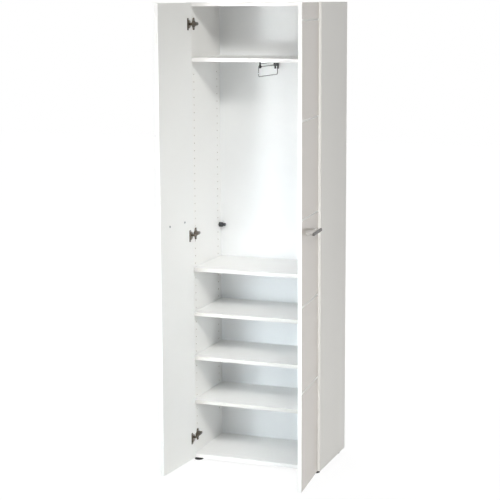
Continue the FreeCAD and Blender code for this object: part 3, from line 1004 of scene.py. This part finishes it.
@dataclass
class ClothesRail:
    """The pull-out clothes rail under the top shelf: a wire loop that slides through two brackets.

    Attributes:
        shelf: Height of the shelf's underside.
        wire: Radius of the loop's wire.
        front: Front leg of the loop on y.
        rear: Rear leg of the loop on y.
        run: Height of the loop's upper run.
        low: Height of the loop's lower run.
        bends: Bending radius of the lower and of the upper corners.
        stem: Middle of the front bracket on y.
        guide: Radius of the ball that guides the upper run.
        saddle: Front and rear face of the rear bracket on y.
        saddle_half: Half width of the rear bracket.
        saddle_tall: Height of the rear bracket.
        slot_half: Half width of the slot that the wire runs in.
        heel: Length and height of the step under the rear bracket's front.
    """

    shelf: float = 1713.0
    wire: float = 2.0
    front: float = 34.4
    rear: float = 267.4
    run: float = 1691.5
    low: float = 1651.0
    bends: tuple[float, float] = (10.0, 7.0)
    stem: float = 52.4
    guide: float = 7.0
    saddle: tuple[float, float] = (243.4, 263.4)
    saddle_half: float = 10.0
    saddle_tall: float = 38.0
    slot_half: float = 3.0
    heel: tuple[float, float] = (8.0, 12.0)

    def build(self) -> None:
        """Makes the loop and its two brackets."""
        self.build_loop()
        self.build_front_bracket()
        self.build_rear_bracket()

    def build_loop(self) -> None:
        """Bends the wire into its closed loop."""
        below, above = self.bends
        corners = [(self.front + below, self.low + below, below, 180),
                   (self.rear - below, self.low + below, below, 270),
                   (self.rear - above, self.run - above, above, 0),
                   (self.front + above, self.run - above, above, 90)]
        path = []
        for y, z, bend, first in corners:
            for k in range(10):
                turn = math.radians(first + 90 * k / 9)
                path.append(Vector((0, y + bend * math.cos(turn), z + bend * math.sin(turn))))
        form = Form()
        form.swept(path, [(self.wire, self.wire)] * len(path), Vector((1, 0, 0)), steps=18, endless=True)
        form.piece("rail_wire_loop", RAIL_STEEL, Body.RAIL, ["rail_loop"], 60.0)

    def build_front_bracket(self) -> None:
        """Moulds the stem and the ball that guides the wire."""
        form = Form()
        r, bore = self.guide, self.wire + 0.15
        half = math.sqrt(r * r - (bore + 0.9) ** 2)
        profile = [(bore, -half), (bore + 0.9, -half)]
        reach = math.asin(half / r)
        profile += [(r * math.cos(reach * k / 8), r * math.sin(reach * k / 8)) for k in range(-7, 8)]
        profile += [(bore + 0.9, half), (bore, half)]
        ball = Matrix.Translation((0, self.stem, self.run)) @ Matrix.Rotation(math.pi / 2, 4, "X")
        form.turned(ball, profile, 40, hollow=True)
        hang = Matrix.Translation((0, self.stem, self.shelf)) @ Matrix.Rotation(math.pi, 4, "X")
        form.plate(hang, rounded_rectangle(6.0, 6.0, 1.6), 0.0, self.shelf - self.run - r + 0.8, 0.0)
        form.plate(hang, rounded_rectangle(9.0, 9.0, 2.4), 0.0, 1.8, 0.7)
        form.piece("rail_front_guide", RAIL_PLASTIC, Body.CARCASS, ["rail_front_bracket"], 50.0)

    def build_rear_bracket(self) -> None:
        """Moulds the slotted saddle with its stepped cheeks."""
        half, slot, tall = self.saddle_half, self.slot_half, self.saddle_tall
        front, rear = self.saddle
        long, step = self.heel
        roof = self.run + self.wire + 1.0 - self.shelf
        upper = tall - step
        arch = [(-half, 0.0), (half, 0.0), (half, -upper + 3.0), (half - 1.0, -upper), (slot, -upper),
                (slot, roof), (-slot, roof), (-slot, -upper), (1.0 - half, -upper), (-half, -upper + 3.0)]
        form = Form()
        upright = Matrix.Translation((0, rear, self.shelf)) @ Matrix.Rotation(math.pi / 2, 4, "X")
        form.plate(upright, arch, 0.0, rear - front, 0.8)
        for s in (-1, 1):
            inner, outer = sorted((s * slot, s * (half - 1.2)))
            form.block((inner, front + long, self.shelf - tall),
                       (outer, rear - 0.6, self.shelf - upper + 1.0), 1.2)
        form.piece("rail_rear_saddle", RAIL_PLASTIC, Body.CARCASS, ["rail_rear_bracket"])

    def dress(self, frame: dict[str, Any]) -> None:
        """Gives the tie rod between the brackets its finish.

        Args:
            frame: The loaded frame.
        """
        dress_node(frame, "rail_tie_rod", RAIL_STEEL)


@dataclass
class CoatPeg:
    """The short turned peg on the left wall.

    Attributes:
        wall: Inner face of the left wall on x.
        depth: Position on y.
        height: Height above the floor.
        profile: Pairs of radius and distance from the wall.
    """

    wall: float = -277.0
    depth: float = 277.4
    height: float = 987.0
    profile: tuple[tuple[float, float], ...] = (
        (0.0, 0.0), (10.3, 0.0), (10.5, 0.5), (10.5, 13.0), (10.2, 15.0), (9.2, 16.4),
        (7.6, 17.0), (5.6, 17.1), (4.8, 18.0), (4.6, 19.2), (4.9, 20.4), (5.9, 21.2),
        (6.5, 22.6), (6.5, 26.4), (6.0, 28.4), (4.6, 29.6), (2.4, 30.0), (0.0, 30.0))

    def build(self) -> None:
        """Turns the peg."""
        foot = Matrix.Translation((self.wall, self.depth, self.height))
        form = Form()
        form.turned(foot @ Matrix.Rotation(math.pi / 2, 4, "Y"), self.profile, 48)
        form.piece("turned_coat_peg", PEG_METAL, Body.CARCASS, ["coat_peg"], 50.0)


@dataclass
class Softbox:
    """One flat studio lamp.

    Attributes:
        name: Name of the lamp.
        place: Position in metres.
        aim: Point that it faces, in metres.
        size: Width and height in metres.
        power: Power in watts.
        spread: Angle of its beam in degrees, narrow where a grid is in front of it.
        colour: sRGB colour of its light.
    """

    name: str
    place: tuple[float, float, float]
    aim: tuple[float, float, float]
    size: tuple[float, float]
    power: float
    spread: float = 180.0
    colour: str = "#FFFFFF"

    def build(self) -> None:
        """Hangs the lamp and turns it to its aim."""
        lamp = bpy.data.lights.new(self.name, "AREA")
        lamp.shape = "RECTANGLE"
        lamp.size, lamp.size_y = self.size
        lamp.energy = self.power
        lamp.spread = math.radians(self.spread)
        lamp.color = linear(self.colour)[:3]
        made = bpy.data.objects.new(self.name, lamp)
        made.location = self.place
        made.rotation_euler = (Vector(self.aim) - Vector(self.place)).to_track_quat("-Z", "Y").to_euler()
        bpy.context.scene.collection.objects.link(made)


@dataclass
class Studio:
    """Floor, surrounding light, lamps and camera.

    Attributes:
        camera_at: Camera position in metres.
        yaw: Turn of the camera to the left of straight ahead, in degrees.
        pitch: Downward tilt in degrees.
        roll: Turn about the viewing axis in degrees.
        focal_px: Focal length in pixels of the 500 pixel wide picture.
        shift: Vertical shift as a share of the picture.
        ambient: Strength of the surrounding light.
        lamps: The lamps.
    """

    camera_at: tuple[float, float, float] = (2.07566, -5.56423, 1.94803)
    yaw: float = 20.707
    pitch: float = 8.913
    roll: float = -0.243
    focal_px: float = 1441.76
    shift: float = -0.04
    ambient: float = 0.02
    lamps: list[Softbox] = field(default_factory=lambda: [
        Softbox("strip_right", (3.6, -5.0, 4.75), (-0.1, 0.1, 1.0), (2.4, 0.65), 196.0, colour="#FFFDF8"),
        Softbox("softbox_right_near", (1.9, -1.5, 0.75), (0.0, -0.1, 0.75), (0.9, 0.9), 8.8,
                colour="#FFFCF4"),
        Softbox("softbox_right_low", (1.5, -3.2, 0.5), (0.0, 0.1, 0.5), (0.9, 0.6), 6.6),
        Softbox("softbox_front_high", (-1.0, -3.9, 2.1), (0.0, 0.1, 1.0), (1.1, 0.7), 13.5),
        Softbox("softbox_front_middle", (-1.0, -3.9, 1.3), (0.0, 0.1, 1.0), (1.1, 0.7), 3.6),
        Softbox("softbox_top_front", (0.5, -3.0, 3.3), (0.0, 0.0, 0.9), (1.6, 1.0), 11.1),
        Softbox("grid_shelf_tops", (0.05, -1.9, 2.3), (0.02, 0.0, 0.45), (0.8, 0.4), 1.3, 45.0),
        Softbox("grid_shelves_low", (-0.15, -1.3, 1.1), (0.12, 0.1, 0.4), (0.6, 0.3), 0.27, 60.0, "#EEF9FF"),
        Softbox("grid_back_low", (-0.9, -3.0, 0.6), (0.1, 0.2, 0.45), (0.6, 0.5), 1.9, 40.0, "#E9F7FF"),
        Softbox("grid_back_high", (-1.3, -3.4, 1.1), (0.15, 0.33, 1.8), (0.5, 0.4), 1.4, 30.0),
        Softbox("softbox_overhead", (0.0, 0.4, 4.6), (0.0, 0.15, 1.95), (1.2, 0.8), 3.2, 60.0),
        Softbox("softbox_back", (-2.6, 4.0, 2.0), (0.0, 0.3, 1.0), (1.8, 1.8), 105.0),
        Softbox("softbox_left", (-4.2, 1.2, 1.6), (-0.3, 0.1, 1.0), (1.6, 1.8), 50.0),
    ])

    def build(self) -> None:
        """Sets up the whole studio."""
        for lamp in self.lamps:
            lamp.build()
            LOG.info("hung lamp %s", lamp.name)
        self.build_world()
        self.build_floor()
        self.build_camera()
        bpy.context.scene.view_settings.view_transform = "Standard"

    def seen_directly(self, tree: bpy.types.NodeTree) -> bpy.types.NodeSocket:
        """Tells whether the camera, a reflection or clear material looks at a surface.

        Args:
            tree: Node tree that takes the nodes.

        Returns:
            Socket with 1 where it does and 0 elsewhere.
        """
        path = add_node(tree, "ShaderNodeLightPath").outputs
        first = add_node(tree, "ShaderNodeMath", {"operation": "MAXIMUM"},
                         {0: path["Is Camera Ray"], 1: path["Is Glossy Ray"]})
        both = add_node(tree, "ShaderNodeMath", {"operation": "MAXIMUM"},
                        {0: first.outputs[0], 1: path["Is Transmission Ray"]})
        return both.outputs[0]

    def build_world(self) -> None:
        """Surrounds the wardrobe with a plain white backdrop and soft fill."""
        world = bpy.data.worlds.new("white_cove")
        world.use_nodes = True
        tree = world.node_tree
        tree.nodes.clear()
        fill = add_node(tree, "ShaderNodeBackground", {"Color": linear("#FFF4DE"), "Strength": self.ambient})
        seen = add_node(tree, "ShaderNodeBackground", {"Color": linear("#FFFFFF"), "Strength": 1.0})
        mix = add_node(tree, "ShaderNodeMixShader", links={
            0: self.seen_directly(tree), 1: fill.outputs[0], 2: seen.outputs[0]})
        add_node(tree, "ShaderNodeOutputWorld", links={"Surface": mix.outputs[0]})
        bpy.context.scene.world = world

    def build_floor(self) -> None:
        """Lays a pale floor that keeps the wardrobe's soft shadow."""
        made = bpy.data.materials.new("studio_floor_matt_painted")
        made.use_nodes = True
        tree = made.node_tree
        tree.nodes.clear()
        paint = add_node(tree, "ShaderNodeBsdfDiffuse", {"Color": linear("#E6E6E4")})
        shade = add_node(tree, "ShaderNodeBsdfDiffuse", {"Color": linear("#5A5A5A")})
        place = add_node(tree, "ShaderNodeTexCoord").outputs["Object"]
        reach = add_node(tree, "ShaderNodeVectorMath", {"operation": "LENGTH"}, {0: place})
        sweep = add_node(tree, "ShaderNodeMapRange", {
            "interpolation_type": "SMOOTHSTEP", "From Min": 0.5, "From Max": 2.2,
            "To Min": 0.93, "To Max": 1.0}, {"Value": reach.outputs["Value"]})
        white = add_node(tree, "ShaderNodeEmission", {"Color": linear("#FFFFFF")},
                         {"Strength": sweep.outputs["Result"]})
        bright = add_node(tree, "ShaderNodeAddShader", links={0: shade.outputs[0], 1: white.outputs[0]})
        mix = add_node(tree, "ShaderNodeMixShader", links={
            0: self.seen_directly(tree), 1: paint.outputs[0], 2: bright.outputs[0]})
        add_node(tree, "ShaderNodeOutputMaterial", links={"Surface": mix.outputs[0]})
        sheet = bmesh.new()
        bmesh.ops.create_grid(sheet, x_segments=2, y_segments=2, size=14.0)
        data = bpy.data.meshes.new("studio_floor")
        sheet.to_mesh(data)
        sheet.free()
        data.materials.append(made)
        floor = bpy.data.objects.new("studio_floor", data)
        bpy.context.scene.collection.objects.link(floor)

    def build_camera(self) -> None:
        """Sets the camera at the picture's viewing angle."""
        data = bpy.data.cameras.new("camera")
        data.sensor_width = 36.0
        data.lens = 36.0 * self.focal_px / 500
        data.shift_y = self.shift
        data.clip_end = 100.0
        yaw, pitch, roll = (math.radians(v) for v in (self.yaw, self.pitch, self.roll))
        ahead = Vector((-math.sin(yaw) * math.cos(pitch), math.cos(yaw) * math.cos(pitch), -math.sin(pitch)))
        right = Vector((math.cos(yaw), math.sin(yaw), 0.0))
        over = right.cross(ahead)
        x = math.cos(roll) * right + math.sin(roll) * over
        y = -math.sin(roll) * right + math.cos(roll) * over
        turn = Matrix((x, y, -ahead)).transposed().to_4x4()
        made = bpy.data.objects.new("camera", data)
        made.matrix_world = Matrix.Translation(self.camera_at) @ turn
        bpy.context.scene.collection.objects.link(made)
        bpy.context.scene.camera = made


def main() -> None:
    """Builds and dresses the wardrobe, then its studio."""
    logging.basicConfig(level=logging.INFO, format="%(name)s: %(message)s")
    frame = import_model()
    carcass = Carcass()
    carcass.build()
    carcass.dress(frame)
    for side in Side:
        hinges = HingeSet(side)
        hinges.build()
        leaf = DoorLeaf(side, hinges)
        leaf.build()
        leaf.dress(frame)
    rail = ClothesRail()
    rail.build()
    rail.dress(frame)
    CoatPeg().build()
    Studio().build()


if __name__ == "__main__":
    main()
